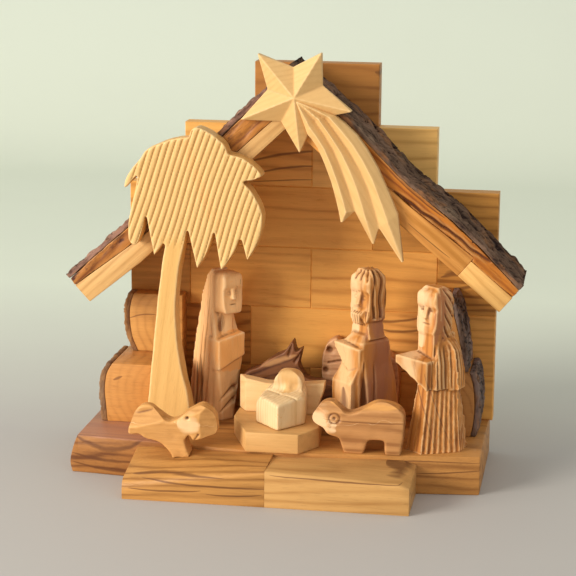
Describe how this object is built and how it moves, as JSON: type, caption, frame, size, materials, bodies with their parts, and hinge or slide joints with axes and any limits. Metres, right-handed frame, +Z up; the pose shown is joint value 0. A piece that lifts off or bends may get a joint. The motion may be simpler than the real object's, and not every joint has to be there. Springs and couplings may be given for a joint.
{
  "type": "wooden nativity stable",
  "caption": "Small olive-wood nativity stable of glued blocks, with a bark roof, star, palm tree, carved figures, manger and animals.",
  "frame": {"origin": "under the base, in the middle of the wall's length, below the front plane of the back wall", "axes": "+X to the right along the back wall as seen from the front, +Y back through the wall, +Z up"},
  "size_m": [0.2186, 0.1045, 0.1997],
  "materials": {
    "olive_heartwood": "sanded, oiled",
    "olive_plank": "sanded, oiled",
    "olive_sapwood": "sanded, oiled",
    "olive_wall": "sanded, oiled",
    "olive_log": "sawn, oiled",
    "olive_slab": "rough sawn, oiled",
    "olive_bark": "natural bark",
    "pale_wood": "carved, matt",
    "palm_wood": "grooved, matt",
    "olive_carving": "knife carved, oiled",
    "olive_dark_carving": "knife carved, oiled"
  },
  "bodies": {
    "root": {"base_left": "olive_heartwood", "base_right": "olive_plank", "step_left": "olive_plank", "step_right": "olive_sapwood", "wall_course1_block1": "olive_wall", "wall_course1_block2": "olive_wall", "wall_course1_block3": "olive_wall", "wall_course1_block4": "olive_wall", "wall_course2_block1": "olive_wall", "wall_course2_block2": "olive_wall", "wall_course2_block3": "olive_wall", "wall_course3_block1": "olive_wall", "wall_course3_block2": "olive_wall", "wall_course3_block3": "olive_wall", "wall_course3_block4": "olive_wall", "wall_course4_block1": "olive_wall", "wall_course4_block2": "olive_wall", "wall_course4_block3": "olive_wall", "wall_course5_block1": "olive_wall", "wall_course5_block2": "olive_wall", "wall_course6_block1": "olive_wall", "log_left_lower": "olive_log", "log_left_lower_bark": "olive_bark", "log_left_upper": "olive_log", "log_left_upper_bark": "olive_bark", "log_right_lower": "olive_log", "log_right_lower_bark": "olive_bark", "log_right_upper": "olive_log", "log_right_upper_bark": "olive_bark", "roof_left_rafter": "olive_sapwood", "roof_left_slab": "olive_slab", "roof_left_bark": "olive_bark", "roof_right_rafter": "olive_slab", "roof_right_end_block": "olive_sapwood", "roof_right_slab": "olive_slab", "roof_right_bark": "olive_bark", "star": "pale_wood", "star_tail": "pale_wood", "palm_tree": "palm_wood", "figure_left": "olive_carving", "figure_middle": "olive_carving", "figure_right": "olive_carving", "manger_base": "pale_wood", "manger_trough": "pale_wood", "infant": "pale_wood", "donkey": "olive_dark_carving", "ox": "olive_carving", "sheep_left": "olive_carving", "sheep_right": "olive_carving"}
  },
  "joints": []
}
